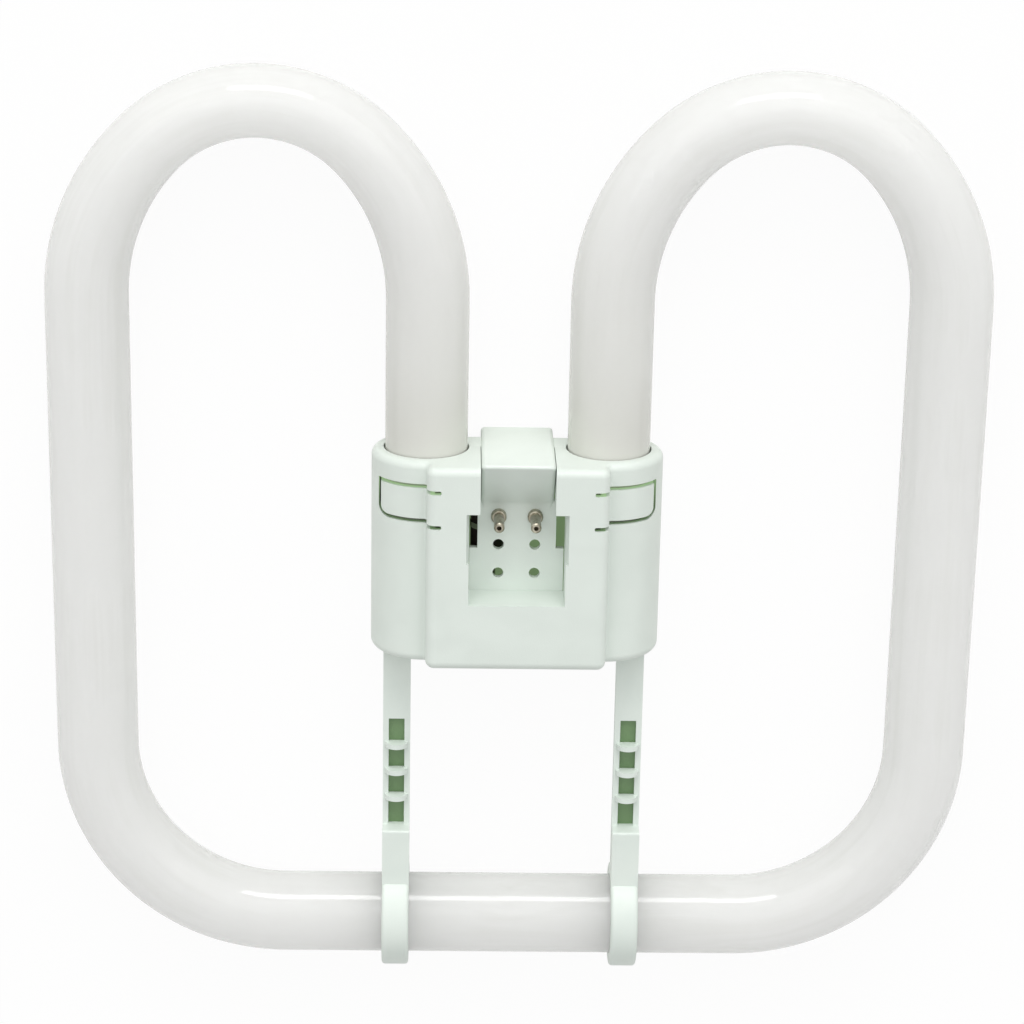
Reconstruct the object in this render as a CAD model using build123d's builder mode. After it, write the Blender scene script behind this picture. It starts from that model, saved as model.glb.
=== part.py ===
from build123d import *
import os
from math import cos, pi, radians, sin

# Square compact fluorescent lamp, lying on its back with the pins up.
# X runs across the lamp, Y from the bottom run of the tube to the two loops, Z up along the pins.
# The origin is under the middle of the lamp, on the surface that it lies on. All sizes are in mm.

# Glass tube
tube_diameter = 18.1
outer_leg_x = 93.45
inner_leg_x = 20.0
tube_span = 188.5
crown_radius = 32.4
crown_thickness = 15.6
corner_radius = 42.0
shoulder_turn = 45.0
tube_end_round = 5.0
tube_end_depth = 37.5
loop_sections = 13

# Cap as a whole: the sleeves, the clips and the flat back all rest on one plane
axis_height = 12.0
rim_drop = 76.0
cap_height = 46.2
cap_wall = 1.8
rim_wall = 2.4
rim_round = 1.7
base_round = 1.8
tube_hole_gap = 0.35
saddle_gap = 0.1
saddle_width = 1.6
saddle_drops = (21.0, 33.0)
seam_gap = 0.05

# Boss on the front shell, with the notch and the recess for the holder
boss_width = 39.5
boss_front = 17.0
boss_round = 2.0
boss_foot_round = 0.8
recess_width = 21.0
recess_drop = 31.1
recess_wall = 1.5
step_drop = 10.2
lead_in_width = 0.6
lead_in_depth = 2.4
lead_in_drop = 21.6

# Tongues cut in the sleeves
tongue_slot = 0.95
tongue_side_slot = 0.5
tongue_top_drop = 5.45
tongue_bottom_drop = 13.3
tongue_turn = 58.7
tongue_reach = 3.2
tongue_round = 2.5
tongue_root_round = 0.4
tongue_foot = 1.2

# Rear shell: floor between the sleeves, block, ramp and pin plate
floor_depth = 8.5
block_width = 16.0
block_gap = 0.15
block_rise = 0.8
block_round = 0.5
block_side_round = 0.9
plate_height = 6.5
plate_wall = 1.6
plate_lap = 0.6
plate_foot_drop = 33.8
plate_wing_drop = 21.25
plate_wing_gap = 0.15
ramp_drop = 11.1
ramp_round = 3.0
bay_drop = 13.4

# Contact pins and the spare holes in the pin plate
pin_pitch = 8.0
pin_drop = 13.8
pin_diameter = 2.3
pin_collar_diameter = 3.4
pin_collar_height = 1.4
pin_collar_dome = 0.5
pin_length = 8.6
pin_bore = 1.0
pin_bore_depth = 4.0
pin_tip_chamfer = 0.3
pin_rivet_height = 0.6
pin_hole_gap = 0.05
spare_hole = 2.4
hole_pitch = 6.6

# Support arms
arm_x = 26.1
arm_width = 6.1
arm_back = 0.7
arm_front = 2.3
arm_fit = 0.15
arm_hook = 2.0
arm_hook_height = 1.2
ladder_drop = 17.45
ladder_length = 25.7
ladder_width = 3.55
ladder_depth = 1.0
rung_count = 3
rung_pitch = 6.35
rung_start = 6.05
rung_diameter = 5.1
rung_thickness = 1.1
arm_block_front = 6.7
arm_round = 0.5
clip_gap = 0.15
clip_round = 0.8

# Starter, capacitor and leads. The rows of leads share the room below the tube ends, so lead_row and
# lead_pitch are fractions of that room. Each lead starts with a short straight piece before it bends.
starter_diameter = 7.6
starter_length = 11.4
starter_x = 6.3
starter_lift = 0.2
starter_drop = 14.5
starter_band = 1.2
starter_band_rise = 0.15
starter_band_drop = 2.4
starter_round = 0.8
capacitor_width = 9.0
capacitor_height = 6.5
capacitor_depth = 4.0
capacitor_round = 1.0
capacitor_gap = 0.2
lead_diameter = 0.7
lead_bend = 0.8
lead_straight = 0.1
lead_spread = 1.5
lead_row = 0.37
lead_pitch = 0.3
lead_lane_x = 1.6
lead_lane_depth = 2.5
lead_clear = 0.25

# Places worked out from the sizes above
tube_radius = tube_diameter / 2
sleeve_radius = axis_height
clip_radius = axis_height
lamp_height = clip_radius + tube_span + crown_thickness / 2
bottom_y = clip_radius - lamp_height / 2
crown_y = bottom_y + tube_span
rim_y = crown_y - rim_drop
base_y = rim_y - cap_height
tube_end_y = rim_y - tube_end_depth

turn = radians(shoulder_turn)
half_loop = (outer_leg_x - inner_leg_x) / 2
shoulder_radius = (half_loop - crown_radius * cos(turn)) / (1 - cos(turn))
loop_height = shoulder_radius * sin(turn) + crown_radius * (1 - sin(turn))
spring_y = crown_y - loop_height

boss_z = axis_height + boss_front
plate_z = axis_height + plate_height
floor_z = axis_height - floor_depth
tower_y = rim_y + block_rise
plate_foot_y = rim_y - plate_foot_drop
pin_y = rim_y - pin_drop
pin_back_z = plate_z - plate_wall - pin_rivet_height
clear = 2 * cap_height

os.makedirs("parts", exist_ok=True)


def save(builder, name):
    builder.part.label = name
    export_step(builder.part, f"parts/{name}.step")


def box_between(low, high, mode=Mode.ADD):
    # Adds or cuts a box given by its lowest and highest corners.
    size = [b - a for a, b in zip(low, high)]
    middle = [(a + b) / 2 for a, b in zip(low, high)]
    with Locations(tuple(middle)):
        Box(*size, mode=mode)


def across(y):
    # A plane across the lamp at height y: its x is X, its y is Z, and it looks down the lamp.
    return Plane.XZ.offset(-y)


def tube_section(line, t, thickness):
    # One oval section of a bend, round across the lamp and thinner in the plane of the bend.
    plane = Plane(origin=line @ t, x_dir=(0, 0, 1), z_dir=line % t)
    with BuildSketch(plane) as section:
        Ellipse(tube_radius, thickness / 2)
    return section.sketch


# Glass tube: straight legs and round corners, with loops that flatten towards their crowns
with BuildPart() as discharge_tube:
    with BuildLine(Plane.XY.offset(axis_height)) as leg:
        Line((inner_leg_x, tube_end_y), (inner_leg_x, spring_y))
    with BuildSketch(Plane(origin=leg.line @ 0, z_dir=leg.line % 0)):
        Circle(tube_radius)
    sweep(path=leg.line)
    fillet(faces().sort_by(Axis.Y)[0].edges(), tube_end_round)

    with BuildLine(Plane.XY.offset(axis_height)) as loop:
        rise = JernArc((inner_leg_x, spring_y), (0, 1), shoulder_radius, -shoulder_turn)
        crown = JernArc(rise @ 1, rise % 1, crown_radius, 2 * shoulder_turn - 180)
        JernArc(crown @ 1, crown % 1, shoulder_radius, -shoulder_turn)
    loop_wire = loop.wires()[0]
    bend = []
    for index in range(loop_sections):
        t = index / (loop_sections - 1)
        thinning = (tube_diameter - crown_thickness) * sin(pi * t) ** 2
        bend.append(tube_section(loop_wire, t, tube_diameter - thinning))
    loft(sections=bend)

    with BuildLine(Plane.XY.offset(axis_height)) as outer_run:
        down = Line((outer_leg_x, spring_y), (outer_leg_x, bottom_y + corner_radius))
        corner = JernArc(down @ 1, down % 1, corner_radius, -90)
        Line(corner @ 1, (0, bottom_y))
    with BuildSketch(Plane(origin=outer_run.wires()[0] @ 0, z_dir=outer_run.wires()[0] % 0)):
        Circle(tube_radius)
    sweep(path=outer_run.wires()[0])
    mirror(about=Plane.YZ)
save(discharge_tube, "discharge_tube")


def sleeve_pair(radius, mode=Mode.ADD):
    # Two circles of a sketch, round the two inner legs.
    with Locations((-inner_leg_x, axis_height), (inner_leg_x, axis_height)):
        Circle(radius, mode=mode)


def half_only(front):
    # Cuts a sketch at the seam of the cap, and keeps its front or its rear half.
    side = -1 if front else 1
    with Locations((0, axis_height + side * clear / 2)):
        Rectangle(2 * clear, clear, mode=Mode.SUBTRACT)


def round_end(index, radius, front):
    # Rounds the outer edges at the rim (-1) or at the base (0), apart from the edges along the seam.
    side = 1 if front else -1
    end = faces().sort_by(Axis.Y)[index]
    fillet(end.edges().filter_by(lambda e: side * (e.center().Z - axis_height) > seam_gap), radius)


def saddles(front):
    # Ribs inside the outer side of each sleeve, which hold the glass.
    for drop in saddle_drops:
        with BuildSketch(across(rim_y - drop)) as rib:
            sleeve_pair(sleeve_radius - cap_wall / 2)
            sleeve_pair(tube_radius + saddle_gap, mode=Mode.SUBTRACT)
            Rectangle(2 * inner_leg_x, 2 * clear, mode=Mode.SUBTRACT)
            half_only(front)
        extrude(rib.sketch, amount=saddle_width)


def cap_openings(front):
    # The round tube holes in the rim and the slots for the arms.
    with BuildSketch(across(rim_y + clear)) as holes:
        sleeve_pair(tube_radius + tube_hole_gap)
        half_only(front)
    extrude(holes.sketch, amount=clear + rim_wall, mode=Mode.SUBTRACT)
    half_slot = arm_width / 2 + arm_fit
    for side in (-1, 1):
        box_between(
            (side * arm_x - half_slot, base_y - cap_wall, axis_height - arm_back - arm_fit),
            (side * arm_x + half_slot, base_y + 2 * cap_wall, axis_height + arm_front + arm_fit),
            mode=Mode.SUBTRACT,
        )


# Front shell: half sleeves and boss, hollow behind, open along the seam
with BuildPart() as cap_front_shell:
    with BuildSketch(across(rim_y)):
        sleeve_pair(sleeve_radius)
        with Locations((0, axis_height + boss_front / 2)):
            Rectangle(boss_width, boss_front)
        half_only(front=True)
        fillet(vertices().group_by(Axis.Y)[1], boss_foot_round)
        fillet(vertices().group_by(Axis.Y)[-1], boss_round)
    extrude(amount=cap_height)
    round_end(-1, rim_round, front=True)
    round_end(0, base_round, front=True)
    with BuildSketch(across(rim_y - rim_wall)):
        sleeve_pair(sleeve_radius - cap_wall)
        with Locations((0, axis_height + (boss_front - cap_wall) / 2)):
            Rectangle(boss_width - 2 * cap_wall, boss_front - cap_wall)
        half_only(front=True)
    extrude(amount=cap_height - rim_wall - cap_wall, mode=Mode.SUBTRACT)
    saddles(front=True)

    # Walls round the recess and beside the notch above it, then the recess and the notch
    wall_x = recess_width / 2 + recess_wall
    notch_x = block_width / 2 + block_gap
    box_between(
        (-wall_x, rim_y - recess_drop - recess_wall, plate_z + seam_gap),
        (wall_x, rim_y - step_drop + recess_wall, boss_z - cap_wall / 2),
    )
    box_between(
        (-notch_x - recess_wall, rim_y - step_drop, plate_z + seam_gap),
        (notch_x + recess_wall, rim_y - rim_wall / 2, boss_z - cap_wall / 2),
    )
    box_between(
        (-recess_width / 2, rim_y - recess_drop, axis_height),
        (recess_width / 2, rim_y - step_drop, boss_z + clear),
        mode=Mode.SUBTRACT,
    )
    box_between(
        (-notch_x, rim_y - step_drop - cap_wall, axis_height - clear),
        (notch_x, rim_y + clear, boss_z + clear),
        mode=Mode.SUBTRACT,
    )

    # Sloping lead-in along the upper part of the two long edges of the recess
    edge_x = recess_width / 2
    with BuildSketch(across(rim_y - step_drop)):
        with BuildLine():
            Polyline(
                (edge_x, boss_z),
                (edge_x + lead_in_width, boss_z),
                (edge_x, boss_z - lead_in_depth),
                close=True,
            )
        make_face()
        mirror(about=Plane.YZ)
    extrude(amount=lead_in_drop - step_drop, mode=Mode.SUBTRACT)

    # Tongues: a slot goes round three sides of each, cut straight down through the sleeve and the boss
    tongue_top_y = rim_y - tongue_top_drop
    tongue_bottom_y = rim_y - tongue_bottom_drop
    tongue_end_x = inner_leg_x + sleeve_radius * sin(radians(tongue_turn))
    root_x = boss_width / 2 - tongue_reach
    with BuildSketch(Plane.XY.offset(axis_height + tongue_foot)) as slots:
        with Locations(((root_x + tongue_end_x) / 2, (tongue_top_y + tongue_bottom_y) / 2)):
            Rectangle(tongue_end_x - root_x, tongue_top_y - tongue_bottom_y + tongue_slot)
        fillet(vertices().sort_by_distance((tongue_end_x, tongue_bottom_y))[0], tongue_round)
        with BuildSketch(mode=Mode.SUBTRACT):
            with Locations((root_x - tongue_side_slot, tongue_bottom_y + tongue_slot / 2)):
                Rectangle(
                    tongue_end_x - root_x,
                    tongue_top_y - tongue_bottom_y - tongue_slot,
                    align=(Align.MIN, Align.MIN),
                )
            inner_corner = (tongue_end_x - tongue_side_slot, tongue_bottom_y + tongue_slot / 2)
            fillet(vertices().sort_by_distance(inner_corner)[0], tongue_round - tongue_slot)
        fillet(vertices().group_by(Axis.X)[0], tongue_root_round)
        mirror(about=Plane.YZ)
    extrude(slots.sketch, amount=clear, mode=Mode.SUBTRACT)
    cap_openings(front=True)
save(cap_front_shell, "cap_front_shell")


# Rear shell: half sleeves, floor, and the block that carries the ramp and the pin plate
with BuildPart() as cap_rear_shell:
    with BuildSketch(across(rim_y)):
        sleeve_pair(sleeve_radius)
        with Locations((0, axis_height - floor_depth / 2)):
            Rectangle(2 * inner_leg_x, floor_depth)
        half_only(front=False)
    extrude(amount=cap_height)
    round_end(-1, rim_round, front=False)
    round_end(0, base_round, front=False)
    box_between(
        (-block_width / 2, base_y, 0),
        (block_width / 2, rim_y, axis_height - seam_gap),
    )
    with BuildSketch(across(rim_y - rim_wall)):
        sleeve_pair(sleeve_radius - cap_wall)
        with Locations((0, axis_height - (floor_depth - cap_wall) / 2)):
            Rectangle(2 * inner_leg_x, floor_depth - cap_wall)
        half_only(front=False)
    extrude(amount=cap_height - rim_wall - cap_wall, mode=Mode.SUBTRACT)
    saddles(front=False)

    # Block, ramp and pin plate: one closed outline seen from the side, hollow inside
    with BuildSketch(Plane.YZ) as side_view:
        with BuildLine():
            Polyline(
                (tower_y, 0),
                (tower_y, boss_z),
                (rim_y - ramp_drop, plate_z),
                (plate_foot_y, plate_z),
                (plate_foot_y, 0),
                close=True,
            )
        make_face()
        fillet(vertices().sort_by_distance((rim_y - ramp_drop, plate_z))[0], ramp_round)
        fillet(vertices().sort_by_distance((tower_y, boss_z))[0], block_round)
    extrude(amount=block_width / 2, both=True)
    fillet(edges().filter_by(Axis.Z).group_by(Axis.Y)[-1], block_side_round)
    hollow = offset(side_view.sketch, amount=-plate_wall, mode=Mode.PRIVATE)
    extrude(hollow, amount=block_width / 2 - plate_wall, both=True, mode=Mode.SUBTRACT)
    box_between(
        (-block_width / 2 + plate_wall, base_y + cap_wall, plate_wall),
        (block_width / 2 - plate_wall, rim_y - bay_drop, plate_z - plate_wall),
        mode=Mode.SUBTRACT,
    )
    box_between(
        (-block_width, plate_foot_y + plate_wall, floor_z + cap_wall),
        (block_width, rim_y - bay_drop, plate_z - plate_wall),
        mode=Mode.SUBTRACT,
    )

    # Pin plate: it reaches under the notch walls, closes the lower recess from side to side, and has holes
    plate_x = block_width / 2 + plate_lap
    box_between(
        (-plate_x, rim_y - plate_wing_drop, plate_z - plate_wall),
        (plate_x, rim_y - step_drop, plate_z),
    )
    wing_x = recess_width / 2 - plate_wing_gap
    box_between(
        (-wing_x, rim_y - recess_drop - recess_wall, plate_z - plate_wall),
        (wing_x, rim_y - plate_wing_drop, plate_z),
    )
    for row, diameter in enumerate((pin_diameter + 2 * pin_hole_gap, spare_hole, spare_hole)):
        for side in (-1, 1):
            with Locations((side * pin_pitch / 2, pin_y - row * hole_pitch, plate_z)):
                Hole(diameter / 2, depth=2 * plate_wall)
    cap_openings(front=False)
save(cap_rear_shell, "cap_rear_shell")


def contact_pin(x):
    # A turned pin, riveted behind the plate, with a collar in front of it and a hollow tip.
    shank = pin_diameter / 2
    collar = pin_collar_diameter / 2
    collar_z = plate_z + pin_collar_height
    tip_z = plate_z + pin_length
    with BuildPart() as pin:
        with BuildSketch(Plane((x, pin_y, 0), x_dir=(1, 0, 0), z_dir=(0, -1, 0))) as profile:
            with BuildLine():
                Polyline(
                    (0, pin_back_z),
                    (collar, pin_back_z),
                    (collar, plate_z - plate_wall),
                    (shank, plate_z - plate_wall),
                    (shank, plate_z),
                    (collar, plate_z),
                    (collar, collar_z),
                    (shank, collar_z),
                    (shank, tip_z - pin_tip_chamfer),
                    (shank - pin_tip_chamfer, tip_z),
                    (pin_bore / 2, tip_z),
                    (pin_bore / 2, tip_z - pin_bore_depth),
                    (0, tip_z - pin_bore_depth),
                    close=True,
                )
            make_face()
            dome = min(pin_collar_dome, collar - shank - pin_hole_gap)
            fillet(vertices().sort_by_distance((collar, collar_z))[0], dome)
        revolve(profile.sketch, axis=Axis((x, pin_y, 0), (0, 0, 1)))
    return pin


for name, side in (("left", -1), ("right", 1)):
    save(contact_pin(side * pin_pitch / 2), f"contact_pin_{name}")


def support_arm(side):
    # One moulded arm: a hook inside the cap, a strip with a ladder of rungs, and a ring clip.
    x = side * arm_x
    head_y = base_y + cap_wall + arm_fit
    ladder_y = base_y - ladder_drop
    block_y = ladder_y - ladder_length
    back_z = axis_height - arm_back
    front_z = axis_height + arm_front
    with BuildPart() as arm:
        with BuildSketch(Plane.YZ.offset(x)) as side_view:
            with Locations(((head_y + block_y) / 2, (back_z + front_z) / 2)):
                Rectangle(head_y - block_y, front_z - back_z)
            with BuildLine():
                Polyline(
                    (block_y, back_z),
                    (block_y, axis_height + arm_block_front),
                    (bottom_y, axis_height + arm_block_front),
                    (bottom_y, back_z),
                    close=True,
                )
            make_face()
            fillet(vertices().sort_by_distance((block_y, axis_height + arm_block_front))[0], arm_round)
            with Locations((bottom_y, axis_height)):
                Circle(clip_radius)
                Circle(tube_radius + clip_gap, mode=Mode.SUBTRACT)
        extrude(side_view.sketch, amount=arm_width / 2, both=True)
        round_edges = edges().filter_by(GeomType.CIRCLE)
        fillet(round_edges.filter_by(lambda e: abs(e.radius - clip_radius) < clip_gap), clip_round)
        box_between(
            (x - ladder_width / 2, block_y, front_z - ladder_depth),
            (x + ladder_width / 2, ladder_y, front_z + ladder_depth),
            mode=Mode.SUBTRACT,
        )
        for rung in range(rung_count):
            rung_y = ladder_y - rung_start - rung * rung_pitch + rung_thickness / 2
            with BuildSketch(across(rung_y)) as half_disc:
                with Locations((x, front_z)):
                    Circle(rung_diameter / 2)
            extrude(half_disc.sketch, amount=rung_thickness)
        hook_x = sorted((x + side * arm_width / 2, x - side * (arm_width / 2 + arm_hook)))
        box_between(
            (hook_x[0], head_y, back_z),
            (hook_x[1], head_y + arm_hook_height, front_z),
        )
    return arm


for name, side in (("left", -1), ("right", 1)):
    save(support_arm(side), f"support_arm_{name}")


# Glow starter: a small bottle behind the left slot of the pin plate, with a band round it
starter_top_y = rim_y - starter_drop
starter_z = axis_height + starter_lift
with BuildPart() as glow_starter:
    with BuildSketch(across(starter_top_y)):
        with Locations((-starter_x, starter_z)):
            Circle(starter_diameter / 2)
    extrude(amount=starter_length)
    fillet(faces().sort_by(Axis.Y)[-1].edges(), starter_round)
    with BuildSketch(across(starter_top_y - starter_band_drop)):
        with Locations((-starter_x, starter_z)):
            Circle(starter_diameter / 2 + starter_band_rise)
    extrude(amount=starter_band)
save(glow_starter, "glow_starter")


# Rows of the leads, in the room between the tube ends and the base wall of the cap
lead_room = tube_end_y - base_y - cap_wall
pin_row_y = tube_end_y - lead_room * lead_row
starter_row_y = pin_row_y - lead_room * lead_pitch

# Capacitor: a small block on the floor of the rear shell, with one leg up to each pin lead
capacitor_top_z = plate_wall + capacitor_gap + capacitor_depth
capacitor_y = pin_row_y + capacitor_height / 2
lane_z = axis_height - lead_lane_depth
with BuildPart() as starter_capacitor:
    with Locations((0, capacitor_y, capacitor_top_z - capacitor_depth / 2)):
        Box(capacitor_width, capacitor_height, capacitor_depth)
    fillet(edges().filter_by(Axis.Z), capacitor_round)
    with BuildSketch(Plane.XY.offset(capacitor_top_z)):
        with Locations((-lead_lane_x, capacitor_y), (lead_lane_x, capacitor_y)):
            Circle(lead_diameter / 2)
    extrude(amount=lane_z - lead_diameter / 2 - seam_gap - capacitor_top_z)
save(starter_capacitor, "starter_capacitor")


def lead(points):
    # A bare wire through the given points, with rounded bends.
    with BuildPart() as wire:
        with BuildLine() as route:
            FilletPolyline(*points, radius=min(lead_bend, lead_room * lead_row - lead_straight))
        path = route.wires()[0]
        with BuildSketch(Plane(origin=path @ 0, z_dir=path % 0)) as section:
            Circle(lead_diameter / 2)
        sweep(section.sketch, path=path)
    return wire


# Leads from the tube ends: one row of them runs to the pins, the other to the starter, where the
# left lead passes beside the block and the right one through its hollow
starter_foot_y = starter_top_y - starter_length
beside_block = -block_width / 2 - lead_clear - lead_diameter / 2
for name, side in (("left", -1), ("right", 1)):
    start_x = side * (inner_leg_x - lead_spread)
    lane_x = side * lead_lane_x
    pin_x = side * pin_pitch / 2
    to_pin = [
        (start_x, tube_end_y, lane_z),
        (start_x, pin_row_y, lane_z),
        (lane_x, pin_row_y, lane_z),
        (lane_x, pin_y, lane_z),
        (pin_x, pin_y, lane_z),
        (pin_x, pin_y, pin_back_z),
    ]
    save(lead(to_pin), f"lead_{name}_to_pin")

    end_x = lead_spread - starter_x if side > 0 else beside_block
    to_starter = [
        (start_x, tube_end_y, starter_z),
        (start_x, starter_row_y, starter_z),
        (end_x, starter_row_y, starter_z),
        (end_x, starter_foot_y, starter_z),
    ]
    save(lead(to_starter), f"lead_{name}_to_starter")
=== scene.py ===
# %% [markdown]
# # A square compact fluorescent lamp
# The lamp is one bent glass tube, held by a moulded cap in the middle and by two moulded arms.
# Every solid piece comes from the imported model, which is loaded here and never moved. This lesson
# adds the glass with its powder coating, a finish for each moulding and metal piece, a pale floor,
# soft light and a camera.

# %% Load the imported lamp
import math

import bpy
from mathutils import Matrix, Vector


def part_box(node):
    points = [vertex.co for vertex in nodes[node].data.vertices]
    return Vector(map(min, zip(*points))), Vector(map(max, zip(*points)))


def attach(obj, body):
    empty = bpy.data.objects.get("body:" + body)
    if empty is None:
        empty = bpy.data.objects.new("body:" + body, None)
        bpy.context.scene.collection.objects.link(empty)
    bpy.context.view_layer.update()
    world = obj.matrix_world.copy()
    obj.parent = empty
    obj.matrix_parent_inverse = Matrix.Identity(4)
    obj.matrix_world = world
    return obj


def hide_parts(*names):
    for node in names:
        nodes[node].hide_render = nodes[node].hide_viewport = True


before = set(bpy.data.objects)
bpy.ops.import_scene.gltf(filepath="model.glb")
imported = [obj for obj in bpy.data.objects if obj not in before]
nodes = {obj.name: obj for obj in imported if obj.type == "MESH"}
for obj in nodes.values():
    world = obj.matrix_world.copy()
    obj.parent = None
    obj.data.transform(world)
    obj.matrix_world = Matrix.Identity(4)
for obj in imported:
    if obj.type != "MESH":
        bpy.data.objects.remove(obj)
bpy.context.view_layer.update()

mm = 0.001
print("nodes:", ", ".join(sorted(nodes)))

# %% [markdown]
# ## Camera
# The lamp lies on its back, so the camera looks down on it, and leans a little towards the loops.
# Its place was worked out from the photograph: the known outline of the tube was laid over the
# picture until the edges met. A camera could also be aimed at the lamp's middle, but the picture's
# middle isn't on the camera's axis, and a small lens shift takes that up.

# %% Camera
photo_size = 1024
focal_pixels = 3164.3
axis_pixel = Vector((516.1, 525.6))
camera_place = Vector((-16.2, 227.7, 674.5)) * mm
camera_swing = math.radians(-1.4)
camera_lean = math.radians(18.8)
camera_roll = math.radians(1.1)

back = Vector((
    math.sin(camera_swing) * math.cos(camera_lean),
    math.sin(camera_lean),
    math.cos(camera_swing) * math.cos(camera_lean),
))
level = Vector((0, 1, 0)).cross(back).normalized()
upright = back.cross(level)
turn = Matrix.Rotation(camera_roll, 3, back)
right, up = turn @ level, turn @ upright

camera_data = bpy.data.cameras.new("camera")
camera_data.lens = focal_pixels * camera_data.sensor_width / photo_size
camera_data.shift_x = 0.5 - axis_pixel.x / photo_size
camera_data.shift_y = axis_pixel.y / photo_size - 0.5
camera = bpy.data.objects.new("camera", camera_data)
camera.matrix_world = Matrix.Translation(camera_place) @ Matrix((right, up, back)).transposed().to_4x4()
bpy.context.scene.collection.objects.link(camera)
bpy.context.scene.camera = camera
print("lens", round(camera_data.lens, 1), "mm, shift", round(camera_data.shift_y, 3))

# %% [markdown]
# ## Three small helpers
# Colours are written as they look on a screen, as sRGB hex values, and one function turns them
# into the linear values that the renderer works with. A second one adds a node to a material,
# sets what is given for it and links it up, so that a material reads as a short list. A third one
# starts an empty material.

# %% Helpers for colours and nodes
def linear(hex_colour):
    """The linear colour of an sRGB hex value, with full alpha."""
    channels = [int(hex_colour[i:i + 2], 16) / 255 for i in (1, 3, 5)]
    return [c / 12.92 if c <= 0.04045 else ((c + 0.055) / 1.055) ** 2.4 for c in channels] + [1.0]


def add_node(tree, kind, links=None, **settings):
    """Add one node: settings are its properties or input values, links maps inputs to outputs."""
    node = tree.nodes.new(kind)
    for name, value in settings.items():
        if hasattr(node, name):
            setattr(node, name, value)
        else:
            node.inputs[name.replace("_", " ")].default_value = value
    for name, output in (links or {}).items():
        tree.links.new(output, node.inputs[name])
    return node


def new_material(name):
    """An empty material with its node tree and its output node."""
    material = bpy.data.materials.new(name)
    material.use_nodes = True
    material.node_tree.nodes.clear()
    return material, material.node_tree, material.node_tree.nodes.new("ShaderNodeOutputMaterial")


print("the middle grey #808080 is", round(linear("#808080")[0], 3), "in linear values")

# %% [markdown]
# ## Floor
# The photograph has a plain white background. The floor is a pale sheet that takes the lamp's
# shadow. What the camera sees of it is mostly plain white, mixed with a little of the lit sheet, so
# the background stays white and a soft shadow still shows where the lamp lies. What the glass and
# the pins reflect of it has more of the lit sheet, because they stand in that shadow.

# %% Floor
floor_side = 8.0
white_to_camera = 0.94
white_in_glass = 0.4

bpy.ops.object.select_all(action="DESELECT")
bpy.ops.mesh.primitive_plane_add(size=floor_side, location=(0, 0, 0))
floor = bpy.context.object
floor.name = "floor"

material, tree, output = new_material("pale paper floor")
path = add_node(tree, "ShaderNodeLightPath")
in_glass = add_node(tree, "ShaderNodeMath", {0: path.outputs["Is Glossy Ray"],
                    1: path.outputs["Is Transmission Ray"]}, operation="MAXIMUM")
in_glass = add_node(tree, "ShaderNodeMath", {0: in_glass.outputs[0]}, operation="MULTIPLY")
in_glass.inputs[1].default_value = white_in_glass
to_camera = add_node(tree, "ShaderNodeMath", {0: path.outputs["Is Camera Ray"]}, operation="MULTIPLY")
to_camera.inputs[1].default_value = white_to_camera
share = add_node(tree, "ShaderNodeMath", {0: in_glass.outputs[0], 1: to_camera.outputs[0]},
                 operation="MAXIMUM")
paper = add_node(tree, "ShaderNodeBsdfDiffuse", Color=linear("#F4F4F2"))
white = add_node(tree, "ShaderNodeEmission", Color=(1, 1, 1, 1), Strength=1.0)
mixed = add_node(tree, "ShaderNodeMixShader", {0: share.outputs[0], 1: paper.outputs[0],
                 2: white.outputs[0]})
tree.links.new(mixed.outputs[0], output.inputs["Surface"])
floor.data.materials.append(material)
print("floor", floor_side, "m wide")

# %% [markdown]
# ## Light
# The photograph was lit from above, which here is the +Y side: faces that look that way are the
# brightest, and the ramp above the pins looks the other way and is the darkest. Most of the light
# comes evenly from the world. A high panel and a low panel, both on the +Y side, give the rest. A
# long lamp draws the thin bright lines on the glass. Two of those lines give its place, because the
# tube's tilt under each says which way the light came from. The glass in the photograph shows no
# broad reflection beside those lines, so the low panel is kept out of the reflections.

# %% Even light from the world
even_level = 0.615
seen_level = 1.0

world = bpy.data.worlds.new("even light")
bpy.context.scene.world = world
world.use_nodes = True
sky = world.node_tree
sky.nodes.clear()
world_output = sky.nodes.new("ShaderNodeOutputWorld")
path = add_node(sky, "ShaderNodeLightPath")
seen = add_node(sky, "ShaderNodeMath", {0: path.outputs["Is Camera Ray"],
                1: path.outputs["Is Glossy Ray"]}, operation="MAXIMUM")
seen = add_node(sky, "ShaderNodeMath", {0: seen.outputs[0],
                1: path.outputs["Is Transmission Ray"]}, operation="MAXIMUM")
even = add_node(sky, "ShaderNodeBackground", Color=(1, 1, 1, 1), Strength=even_level)
bright = add_node(sky, "ShaderNodeBackground", Color=(1, 1, 1, 1), Strength=seen_level)
both = add_node(sky, "ShaderNodeMixShader", {0: seen.outputs[0], 1: even.outputs[0],
                2: bright.outputs[0]})
sky.links.new(both.outputs[0], world_output.inputs["Surface"])
print("world", even_level, "on surfaces and", seen_level, "where it is seen")

# %% Lamps
lamp_middle = Vector((0, 0, 20 * mm))


def area_light(name, place, size, radiance, reflected=True):
    """A rectangular lamp, turned to the middle of the tube. Its power follows from its radiance."""
    data = bpy.data.lights.new(name, "AREA")
    data.shape = "RECTANGLE"
    data.size, data.size_y = size
    data.energy = radiance * math.pi * size[0] * size[1]
    lamp = bpy.data.objects.new(name, data)
    lamp.location = place
    lamp.rotation_euler = (lamp_middle - Vector(place)).to_track_quat("-Z", "Y").to_euler()
    lamp.visible_glossy = reflected
    bpy.context.scene.collection.objects.link(lamp)
    return lamp


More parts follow.
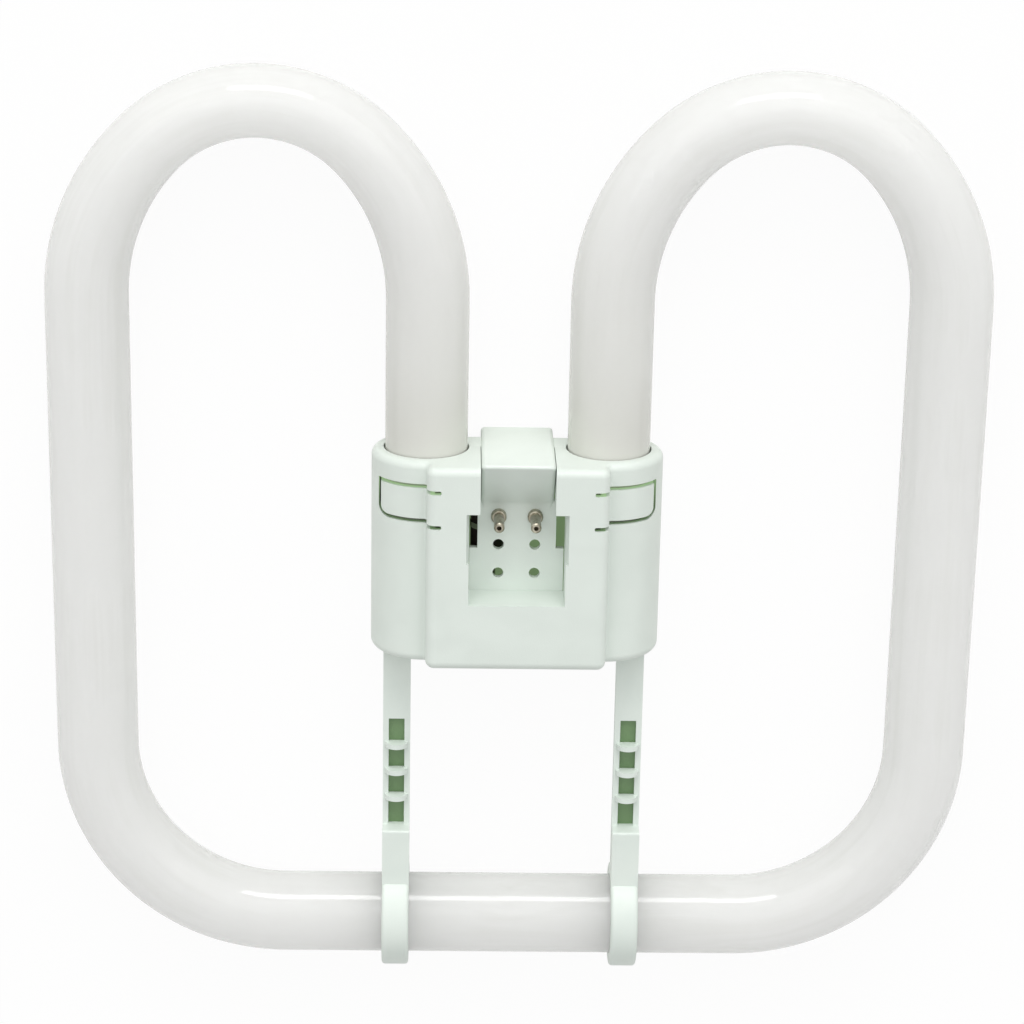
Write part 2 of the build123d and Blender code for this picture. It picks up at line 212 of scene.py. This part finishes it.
lamps = [
    area_light("high panel", (0, 2.0, 2.68), (7.2, 3.2), 0.6),
    area_light("low panel", (0, 1.9, 0.94), (3.0, 1.2), 1.25, reflected=False),
    area_light("long lamp", (0.04, 1.9, 0.94), (1.1, 0.53), 5.0),
]
bpy.context.scene.view_settings.view_transform = "Standard"
for lamp in lamps:
    print(lamp.name, round(lamp.data.energy, 2), "W")

# %% [markdown]
# ## The glass tube
# The real tube is drawn glass, bent while hot: four straight legs, two loops that flatten a
# little at their crowns, two round corners and a bottom run. A curve with a round bevel could make it, but
# it couldn't flatten only in the loops. Here a circle is drawn once and taken along the way a
# glass bender goes: extruded for each straight run and spun round a centre for each bend. Half of
# it is made, its last ring is left open, and the mirror joins the other half on there.

# %% Places along the tube
tube_low, tube_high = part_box("discharge_tube")
rim_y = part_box("cap_front_shell")[1].y
tube_radius = (tube_high.z - tube_low.z) / 2
axis_z = (tube_high.z + tube_low.z) / 2
outer_leg_x = tube_high.x - tube_radius
bottom_y = tube_low.y + tube_radius
inner_leg_x = 20.0 * mm
tube_end_y = rim_y - 37.5 * mm
tube_end_round = 5.0 * mm
corner_radius = 42.0 * mm
crown_radius = 32.4 * mm
crown_thickness = 15.6 * mm
shoulder_turn = math.radians(45)

loop_x = (inner_leg_x + outer_leg_x) / 2
half_loop = (outer_leg_x - inner_leg_x) / 2
shoulder_radius = half_loop - crown_radius * math.cos(shoulder_turn)
shoulder_radius /= 1 - math.cos(shoulder_turn)
crown_y = tube_high.y - crown_thickness / 2
crown_centre_y = crown_y - crown_radius
spring_y = crown_centre_y - (shoulder_radius - crown_radius) * math.sin(shoulder_turn)
corner_centre = Vector((outer_leg_x - corner_radius, bottom_y + corner_radius, axis_z))
print("tube", round(2 * tube_radius / mm, 2), "mm, loops spring at", round(spring_y / mm, 2))

# %% Take the ring along half of the tube
ring_points = 72
bend_step = math.radians(2.5)
weld = 0.01 * mm


def straight_run(shift):
    """Extrude the selected ring along a straight run."""
    bpy.ops.mesh.extrude_region_move(TRANSFORM_OT_translate={"value": shift})


def bend_run(centre, angle):
    """Spin the selected ring round an upright axis through a centre."""
    steps = max(2, round(abs(angle) / bend_step))
    bpy.ops.mesh.spin(steps=steps, angle=angle, center=centre, axis=(0, 0, 1))


bpy.ops.object.select_all(action="DESELECT")
bpy.ops.mesh.primitive_circle_add(vertices=ring_points, radius=tube_radius, fill_type="NGON",
                                  location=(inner_leg_x, tube_end_y, axis_z),
                                  rotation=(math.radians(90), 0, 0))
tube = bpy.context.object
tube.name = "glass_tube"
bpy.ops.object.transform_apply(location=True, rotation=True, scale=True)
bpy.ops.object.mode_set(mode="EDIT")
bpy.ops.mesh.select_mode(type="EDGE")
bpy.ops.mesh.select_all(action="SELECT")
straight_run((0, spring_y - tube_end_y, 0))
bend_run((inner_leg_x + shoulder_radius, spring_y, axis_z), shoulder_turn)
bend_run((loop_x, crown_centre_y, axis_z), math.pi - 2 * shoulder_turn)
bend_run((outer_leg_x - shoulder_radius, spring_y, axis_z), shoulder_turn)
straight_run((0, corner_centre.y - spring_y, 0))
bend_run(corner_centre, math.pi / 2)
straight_run((-corner_centre.x, 0, 0))
bpy.ops.mesh.delete(type="ONLY_FACE")
bpy.ops.object.mode_set(mode="OBJECT")
low = [min(v.co[i] for v in tube.data.vertices) / mm for i in range(3)]
high = [max(v.co[i] for v in tube.data.vertices) / mm for i in range(3)]
print("half tube from", [round(c, 2) for c in low], "to", [round(c, 2) for c in high])

# %% [markdown]
# The glass thins a little where it goes round the crowns, so each ring of the loops is drawn in
# towards the middle line of its bend. The same pass keeps the place of every point on the
# straightened tube: how far out, how far up and how far along. The coating follows the tube, and
# its pattern needs those three numbers.

# %% Way along the tube
bottom_length = corner_centre.x
corner_length = corner_radius * math.pi / 2
leg_length = spring_y - corner_centre.y
shoulder_length = shoulder_radius * shoulder_turn
crown_length = crown_radius * (math.pi - 2 * shoulder_turn)
loop_length = 2 * shoulder_length + crown_length
loop_start = bottom_length + corner_length + leg_length


def place_on_tube(x, y):
    """The bend's centre and radius, or None, with the offset from the middle line and the way along."""
    if y < corner_centre.y and x < corner_centre.x:
        return None, y - bottom_y, x
    if y < corner_centre.y:
        arm = Vector((x - corner_centre.x, y - corner_centre.y))
        angle = math.atan2(arm.x, -arm.y)
        return (corner_centre.xy, corner_radius), arm.length - corner_radius, \
            bottom_length + angle * corner_radius
    if y < spring_y and x > loop_x:
        return None, x - outer_leg_x, bottom_length + corner_length + y - corner_centre.y
    if y < spring_y:
        return None, x - inner_leg_x, loop_start + loop_length + spring_y - y
    centre = Vector((loop_x, crown_centre_y))
    angle = math.atan2(y - centre.y, x - centre.x)
    if shoulder_turn <= angle <= math.pi - shoulder_turn:
        offset = (Vector((x, y)) - centre).length - crown_radius
        way = loop_start + shoulder_length + (angle - shoulder_turn) * crown_radius
        return (centre, crown_radius), offset, way
    if x > loop_x:
        centre = Vector((outer_leg_x - shoulder_radius, spring_y))
        angle = math.atan2(y - centre.y, x - centre.x)
        way = loop_start + angle * shoulder_radius
    else:
        centre = Vector((inner_leg_x + shoulder_radius, spring_y))
        angle = math.atan2(y - centre.y, centre.x - x)
        way = loop_start + loop_length - angle * shoulder_radius
    return (centre, shoulder_radius), (Vector((x, y)) - centre).length - shoulder_radius, way


print("half of the tube is", round((loop_start + loop_length + spring_y - tube_end_y) / mm), "mm long")

# %% Thin the crowns and mirror the tube
straightened = tube.data.attributes.new("straightened", "FLOAT_VECTOR", "POINT")
for vertex in tube.data.vertices:
    bend, offset, way = place_on_tube(vertex.co.x, vertex.co.y)
    straightened.data[vertex.index].vector = (offset, vertex.co.z - axis_z, way)
    loop_share = (way - loop_start) / loop_length
    if bend and 0 < loop_share < 1:
        thinning = (1 - crown_thickness / (2 * tube_radius)) * math.sin(math.pi * loop_share) ** 2
        outward = (vertex.co.xy - bend[0]).normalized()
        vertex.co.xy -= outward * offset * thinning

bpy.ops.object.select_all(action="DESELECT")
tube.select_set(True)
bpy.context.view_layer.objects.active = tube
mirror = tube.modifiers.new("other half", "MIRROR")
mirror.use_axis = (True, False, False)
mirror.merge_threshold = weld
bpy.ops.object.modifier_apply(modifier=mirror.name)
print("tube has", len(tube.data.vertices), "points")

# %% Round the sealed ends and smooth the glass
bpy.ops.object.mode_set(mode="EDIT")
bpy.ops.mesh.select_all(action="DESELECT")
bpy.ops.object.mode_set(mode="OBJECT")
for edge in tube.data.edges:
    ends = [tube.data.vertices[i].co.y for i in edge.vertices]
    edge.select = all(abs(y - tube_end_y) < weld for y in ends)
bpy.ops.object.mode_set(mode="EDIT")
bpy.ops.mesh.select_mode(type="EDGE")
bpy.ops.mesh.bevel(offset=tube_end_round, segments=5)
bpy.ops.mesh.select_all(action="SELECT")
bpy.ops.mesh.normals_make_consistent(inside=False)
bpy.ops.object.mode_set(mode="OBJECT")
bpy.ops.object.shade_smooth()
straightened = tube.data.attributes["straightened"]
for vertex in tube.data.vertices:
    if vertex.co.x < 0:
        offset, lift, way = straightened.data[vertex.index].vector
        straightened.data[vertex.index].vector = (offset, lift, -way)
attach(tube, "root")
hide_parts("discharge_tube")
print("tube faces", len(tube.data.polygons))

# %% [markdown]
# ## Coated glass
# The tube is soda-lime glass with a fluorescent powder on its inside. The powder is a matt,
# faintly warm white, and the glass over it is clear and shiny. The powder is washed in as a slurry
# and drains along the tube, so it lies in long, very faint streaks. Drawn glass also has slight
# ripples along its length, and they make the reflections waver. The coat is made a little darker
# and warmer near the tube ends. The tube is hollow and the powder lets light through, so light that
# falls on one side crosses the tube and comes out on the other. Scattering below the surface, with
# a free path much longer than the tube is wide, gives that even look. It fades out where the tube
# goes into the cap, because little light gets in there.

# %% Powder coat
streak_width = 3.0 * mm
streak_length = 70.0 * mm
cloud_size = 30.0 * mm
tube_end_way = loop_start + loop_length + spring_y - tube_end_y
grey_start = tube_end_way - 100.0 * mm
grey_full = tube_end_way - 45.0 * mm
thin_coat, full_coat, greyed_coat = "#DDDED9", "#E2E3DF", "#DADAD3"

coated_glass, tree, output = new_material("powder coated soda-lime glass")
on_tube = add_node(tree, "ShaderNodeAttribute", attribute_name="straightened").outputs["Vector"]
along = add_node(tree, "ShaderNodeMapping", {"Vector": on_tube},
                 Scale=(1 / streak_width, 1 / streak_width, 1 / streak_length))
streaks = add_node(tree, "ShaderNodeTexNoise", {"Vector": along.outputs[0]}, Scale=1.0, Detail=3.0)
clouds = add_node(tree, "ShaderNodeTexNoise", {"Vector": on_tube}, Scale=1 / cloud_size, Detail=2.0)
density = add_node(tree, "ShaderNodeMath", {0: streaks.outputs["Fac"], 1: clouds.outputs["Fac"]},
                   operation="ADD")
coat = add_node(tree, "ShaderNodeValToRGB", {"Fac": density.outputs[0]})
coat.color_ramp.elements[0].position = 0.75
coat.color_ramp.elements[0].color = linear(thin_coat)
coat.color_ramp.elements[1].position = 1.0
coat.color_ramp.elements[1].color = linear(full_coat)
way = add_node(tree, "ShaderNodeSeparateXYZ", {0: on_tube})
way = add_node(tree, "ShaderNodeMath", {0: way.outputs[2]}, operation="ABSOLUTE")
near_end = add_node(tree, "ShaderNodeMapRange", {"Value": way.outputs[0]},
                    interpolation_type="SMOOTHSTEP")
near_end.inputs["From Min"].default_value = grey_start
near_end.inputs["From Max"].default_value = grey_full
greyed = add_node(tree, "ShaderNodeMix", {0: near_end.outputs[0], 6: coat.outputs["Color"]},
                  data_type="RGBA")
greyed.inputs[7].default_value = linear(greyed_coat)
print("coat greys over the last", round((tube_end_way - grey_start) / mm), "mm")

# %% Glass over the coat
ripple_width = 5.0 * mm
ripple_height = 0.005 * mm
free_path = 10 * tube_radius
cover_start = tube_end_way - 62.0 * mm
cover_full = tube_end_way - 36.0 * mm

ripple_map = add_node(tree, "ShaderNodeMapping", {"Vector": on_tube},
                      Scale=(1 / ripple_width, 1 / ripple_width, 0.1 / ripple_width))
ripples = add_node(tree, "ShaderNodeTexNoise", {"Vector": ripple_map.outputs[0]}, Scale=1.0, Detail=1.0)
rippled = add_node(tree, "ShaderNodeBump", {"Height": ripples.outputs["Fac"]}, Strength=1.0,
                   Distance=ripple_height)
crossing = add_node(tree, "ShaderNodeMapRange", {"Value": way.outputs[0]},
                    interpolation_type="SMOOTHSTEP")
crossing.inputs["From Min"].default_value = cover_full
crossing.inputs["From Max"].default_value = cover_start
shader = add_node(tree, "ShaderNodeBsdfPrincipled",
                  {"Base Color": greyed.outputs[2], "Normal": rippled.outputs["Normal"],
                   "Subsurface Weight": crossing.outputs[0]},
                  Roughness=0.07, IOR=1.52, Subsurface_Scale=free_path)
shader.inputs["Subsurface Radius"].default_value = (1, 1, 1)
tree.links.new(shader.outputs[0], output.inputs["Surface"])
tube.data.materials.clear()
tube.data.materials.append(coated_glass)
print("finish:", coated_glass.name)

# %% [markdown]
# ## Moulded plastic
# The cap and the arms are injection moulded in a white thermoplastic. Its surface copies the mould,
# which was spark eroded: a fine even grain that takes the shine off. The plastic flows into the
# mould in slow swirls, which leave a faint change of tone. Grain of about 0.1 mm is too fine for
# this picture, so it is drawn three times as coarse. Some places get painted green light, marked on
# the lamp's own coordinates: the floors of the ladder windows, the inside of the cap and the sides of
# the tongue slots. Green light from below shines through the thin walls there. A painted green stands
# in for it, with a painted glow in the cap and a painted dark green on the window floors. The upper
# slots of the tongues are paler than the lower ones, so the painted glow grows towards them.

# %% Masks for places on the lamp
def box_mask(tree, coordinates, low, high):
    """An output that is 1 inside a box given in metres, and 0 outside it."""
    middle = (Vector(low) + Vector(high)) / 2
    size = Vector(high) - Vector(low)
    centred = add_node(tree, "ShaderNodeVectorMath", {0: coordinates}, operation="SUBTRACT")
    centred.inputs[1].default_value = middle
    scaled = add_node(tree, "ShaderNodeVectorMath", {0: centred.outputs[0]}, operation="DIVIDE")
    scaled.inputs[1].default_value = size / 2
    away = add_node(tree, "ShaderNodeVectorMath", {0: scaled.outputs[0]}, operation="ABSOLUTE")
    parts = add_node(tree, "ShaderNodeSeparateXYZ", {0: away.outputs[0]})
    far = add_node(tree, "ShaderNodeMath", {0: parts.outputs[0], 1: parts.outputs[1]},
                   operation="MAXIMUM")
    far = add_node(tree, "ShaderNodeMath", {0: far.outputs[0], 1: parts.outputs[2]},
                   operation="MAXIMUM")
    inside = add_node(tree, "ShaderNodeMath", {0: far.outputs[0]}, operation="LESS_THAN")
    inside.inputs[1].default_value = 1.0
    return inside.outputs[0]


def round_mask(tree, coordinates, centre, radius):
    """An output that is 1 nearer than a radius to a line along Y through a centre, and 0 elsewhere."""
    centred = add_node(tree, "ShaderNodeVectorMath", {0: coordinates}, operation="SUBTRACT")
    centred.inputs[1].default_value = centre
    flat = add_node(tree, "ShaderNodeVectorMath", {0: centred.outputs[0]}, operation="MULTIPLY")
    flat.inputs[1].default_value = (1, 0, 1)
    away = add_node(tree, "ShaderNodeVectorMath", {0: flat.outputs[0]}, operation="LENGTH")
    inside = add_node(tree, "ShaderNodeMath", {0: away.outputs["Value"]}, operation="LESS_THAN")
    inside.inputs[1].default_value = radius
    return inside.outputs[0]


def joined(tree, operation, masks):
    """One mask out of several: MAXIMUM is any of them, MINIMUM is all of them."""
    mask = masks[0]
    for other in masks[1:]:
        mask = add_node(tree, "ShaderNodeMath", {0: mask, 1: other}, operation=operation).outputs[0]
    return mask


# %% Moulded plastic
grain_size = 0.3 * mm
grain_height = 0.02 * mm
grain_roughness = (0.32, 0.48)
flow_size = 14.0 * mm


def moulded_plastic(name, pale, deep, green, glow, painted_light_places, glow_from=None, glow_to=None):
    """A grained white moulding whose tone drifts from pale to deep, with painted green light in the given
    places.
    That painted glow is the same all over, or it grows along Y from one place to another."""
    material, tree, output = new_material(name)
    place = add_node(tree, "ShaderNodeTexCoord").outputs["Object"]
    flow = add_node(tree, "ShaderNodeTexNoise", {"Vector": place}, Scale=1 / flow_size, Detail=2.0,
                    Distortion=0.6)
    tone = add_node(tree, "ShaderNodeValToRGB", {"Fac": flow.outputs["Fac"]})
    tone.color_ramp.elements[0].position = 0.35
    tone.color_ramp.elements[0].color = linear(deep)
    tone.color_ramp.elements[1].position = 0.65
    tone.color_ramp.elements[1].color = linear(pale)
    mask = painted_light_places(tree, place)
    colour = add_node(tree, "ShaderNodeMix", {0: mask, 6: tone.outputs["Color"]}, data_type="RGBA")
    colour.inputs[7].default_value = linear(green)
    shining = add_node(tree, "ShaderNodeMath", {0: mask}, operation="MULTIPLY")
    shining.inputs[1].default_value = glow
    if glow_to is not None:
        along = add_node(tree, "ShaderNodeSeparateXYZ", {0: place})
        level = add_node(tree, "ShaderNodeMapRange", {"Value": along.outputs[1]})
        level.inputs["From Min"].default_value = glow_from
        level.inputs["From Max"].default_value = glow_to
        shining = add_node(tree, "ShaderNodeMath", {0: shining.outputs[0], 1: level.outputs[0]},
                           operation="MULTIPLY")
    grain = add_node(tree, "ShaderNodeTexNoise", {"Vector": place}, Scale=1 / grain_size, Detail=2.0)
    shine = add_node(tree, "ShaderNodeMapRange", {"Value": grain.outputs["Fac"]})
    shine.inputs["To Min"].default_value = grain_roughness[0]
    shine.inputs["To Max"].default_value = grain_roughness[1]
    bump = add_node(tree, "ShaderNodeBump", {"Height": grain.outputs["Fac"]}, Strength=1.0,
                    Distance=grain_height)
    shader = add_node(tree, "ShaderNodeBsdfPrincipled",
                      {"Base Color": colour.outputs[2], "Roughness": shine.outputs[0],
                       "Normal": bump.outputs[0], "Emission Strength": shining.outputs[0]},
                      IOR=1.5)
    shader.inputs["Emission Color"].default_value = linear(green)
    tree.links.new(shader.outputs[0], output.inputs["Surface"])
    return material


print("grain", round(grain_size / mm, 2), "mm, flow", round(flow_size / mm), "mm")

# %% Plastic of the cap
rear_low, rear_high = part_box("cap_rear_shell")
cap_wall = 1.8 * mm
plate_wall = 1.6 * mm
plate_z = 18.5 * mm
boss_half = 19.75 * mm
boss_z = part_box("cap_front_shell")[1].z
sleeve_radius = 12.0 * mm
recess_side = 12.5 * mm
bay_half, bay_floor_z = 14.0 * mm, 5.2 * mm
well_half = 6.5 * mm
block_depth = 6.0 * mm
skin = 0.8 * mm
overlap = 0.1 * mm
inside_top = plate_z - plate_wall - overlap
tongue_y = (rim_y - 14.5 * mm, rim_y - 4.5 * mm)


def inside_rear(tree, place):
    """The bay under the pin plate and the deeper well in its middle, where green light is painted."""
    low_y = rear_low.y + cap_wall - overlap
    high_y = rear_high.y - block_depth
    well_z = plate_wall - overlap
    bay = box_mask(tree, place, (-bay_half, low_y, bay_floor_z), (bay_half, high_y, inside_top))
    well = box_mask(tree, place, (-well_half, low_y, well_z), (well_half, high_y, inside_top))
    return joined(tree, "MAXIMUM", [bay, well])


def inside_slots(tree, place):
    """The walls of the tongue slots, below the skin of the sleeves and the boss, where green light is
    painted.
    """
    masks = []
    for side in (-1, 1):
        masks.append(round_mask(tree, place, (side * inner_leg_x, 0, axis_z), sleeve_radius - skin))
        near, far = sorted((side * recess_side, side * (boss_half - skin)))
        low, high = (near, tongue_y[0], axis_z), (far, tongue_y[1], boss_z - skin)
        masks.append(box_mask(tree, place, low, high))
    low, high = (-2 * boss_half, tongue_y[0], axis_z), (2 * boss_half, tongue_y[1], boss_z)
    in_reach = box_mask(tree, place, low, high)
    return joined(tree, "MINIMUM", [in_reach, joined(tree, "MAXIMUM", masks)])


# The tongue slots get painted green light, with a painted glow that grows towards the upper slots.
front_plastic = moulded_plastic("moulded white plastic of the front shell", "#DFE7E0", "#DBE3DC",
                                "#A9C29B", 0.5, inside_slots, *tongue_y)
# Inside the cap gets painted green light with a painted glow. The rear shell's tone is lighter than the
# front shell's: painted light on its block and its pin plate.
rear_plastic = moulded_plastic("moulded white plastic of the rear shell", "#E5EDE6", "#E1E9E2",
                               "#8FA97F", 0.38, inside_rear)
print("finishes:", front_plastic.name, "and", rear_plastic.name)

# %% Plastic of the arms
arm_x = 26.1 * mm
ladder_width = 3.55 * mm
ladder_y = (-43.3 * mm, -69.0 * mm)
ladder_floor_z = 13.3 * mm
window_skin = 0.2 * mm


def arm_windows(side):
    """A function that marks the floors of the windows in one arm, where green light and shade are painted.
    """
    def windows(tree, place):
        middle = side * arm_x
        low = (middle - ladder_width / 2, ladder_y[1], ladder_floor_z - window_skin)
        high = (middle + ladder_width / 2, ladder_y[0], ladder_floor_z + window_skin)
        return box_mask(tree, place, low, high)

    return windows


# The window floors get a painted dark green, for green light and shade in the windows.
arm_plastics = {
    name: moulded_plastic(f"moulded white plastic of the {name} arm", "#E1E9E2", "#DCE5DE",
                          "#6F8C62", 0.0, arm_windows(side))
    for name, side in (("left", -1), ("right", 1))
}
print("finishes:", ", ".join(plastic.name for plastic in arm_plastics.values()))

# %% [markdown]
# ## Metal, starter and leads
# The pins are turned brass with nickel plating: a warm grey metal with fine rings left by the tool.
# The starter is a dark moulded bottle with a paper band, the capacitor is dipped in resin, and the
# leads are tinned copper. These inner pieces show only through the slots beside the pins.

# %% Nickel plated pins
ring_pitch = 0.25 * mm
ring_height = 0.01 * mm
tarnish_size = 1.2 * mm
pin_nickel, tree, output = new_material("nickel plated brass, turned")
place = add_node(tree, "ShaderNodeTexCoord").outputs["Object"]
rings = add_node(tree, "ShaderNodeTexWave", {"Vector": place}, bands_direction="Z",
                 Scale=math.pi / (10 * ring_pitch), Distortion=0.4)
tarnish = add_node(tree, "ShaderNodeTexNoise", {"Vector": place}, Scale=1 / tarnish_size, Detail=3.0)
metal = add_node(tree, "ShaderNodeValToRGB", {"Fac": tarnish.outputs["Fac"]})
metal.color_ramp.elements[0].color = linear("#8A8474")
metal.color_ramp.elements[0].position = 0.35
metal.color_ramp.elements[1].color = linear("#B8B3A2")
metal.color_ramp.elements[1].position = 0.65
turned = add_node(tree, "ShaderNodeBump", {"Height": rings.outputs["Fac"]}, Strength=0.5,
                  Distance=ring_height)
shader = add_node(tree, "ShaderNodeBsdfPrincipled",
                  {"Base Color": metal.outputs["Color"], "Normal": turned.outputs["Normal"]},
                  Metallic=1.0, Roughness=0.32)
tree.links.new(shader.outputs[0], output.inputs["Surface"])
print("finish:", pin_nickel.name)

# %% Starter, capacitor and leads
band_from_top = 2.4 * mm
band_width = 1.2 * mm


def starter_band(tree, place):
    """The paper band round the starter."""
    low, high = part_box("glow_starter")
    band_top = high.y - band_from_top
    band_low = (low.x - skin, band_top - band_width, low.z - skin)
    band_high = (high.x + skin, band_top, high.z + skin)
    return box_mask(tree, place, band_low, band_high)


def mottled(name, light, dark, spot_size, roughness, metallic=0.0, stripe=None, stripe_place=None):
    """A finish that drifts between two tones in spots of a given size, with a stripe if one is given."""
    material, tree, output = new_material(name)
    place = add_node(tree, "ShaderNodeTexCoord").outputs["Object"]
    spots = add_node(tree, "ShaderNodeTexNoise", {"Vector": place}, Scale=1 / spot_size, Detail=3.0)
    tone = add_node(tree, "ShaderNodeValToRGB", {"Fac": spots.outputs["Fac"]})
    tone.color_ramp.elements[0].color = linear(dark)
    tone.color_ramp.elements[0].position = 0.3
    tone.color_ramp.elements[1].color = linear(light)
    tone.color_ramp.elements[1].position = 0.7
    colour = tone.outputs["Color"]
    if stripe:
        striped = add_node(tree, "ShaderNodeMix", {0: stripe_place(tree, place), 6: colour},
                           data_type="RGBA")
        striped.inputs[7].default_value = linear(stripe)
        colour = striped.outputs[2]
    shader = add_node(tree, "ShaderNodeBsdfPrincipled", {"Base Color": colour},
                      Roughness=roughness, Metallic=metallic)
    tree.links.new(shader.outputs[0], output.inputs["Surface"])
    return material


starter_plastic = mottled("dark phenolic moulding", "#2A1F1A", "#1C1512", 2 * mm, 0.45,
                          stripe="#98A48C", stripe_place=starter_band)
capacitor_resin = mottled("dipped epoxy resin", "#8A5A28", "#744A1E", 2 * mm, 0.2)
tinned_copper = mottled("tinned copper wire", "#C4C4BF", "#A6A6A0", 1 * mm, 0.3, 1.0)

finishes = {
    "cap_front_shell": front_plastic,
    "cap_rear_shell": rear_plastic,
    "support_arm_left": arm_plastics["left"],
    "support_arm_right": arm_plastics["right"],
    "contact_pin_left": pin_nickel,
    "contact_pin_right": pin_nickel,
    "glow_starter": starter_plastic,
    "starter_capacitor": capacitor_resin,
    "discharge_tube": coated_glass,
}
for name, node in nodes.items():
    node.data.materials.clear()
    node.data.materials.append(finishes.get(name, tinned_copper))
print("dressed", len(nodes), "nodes")
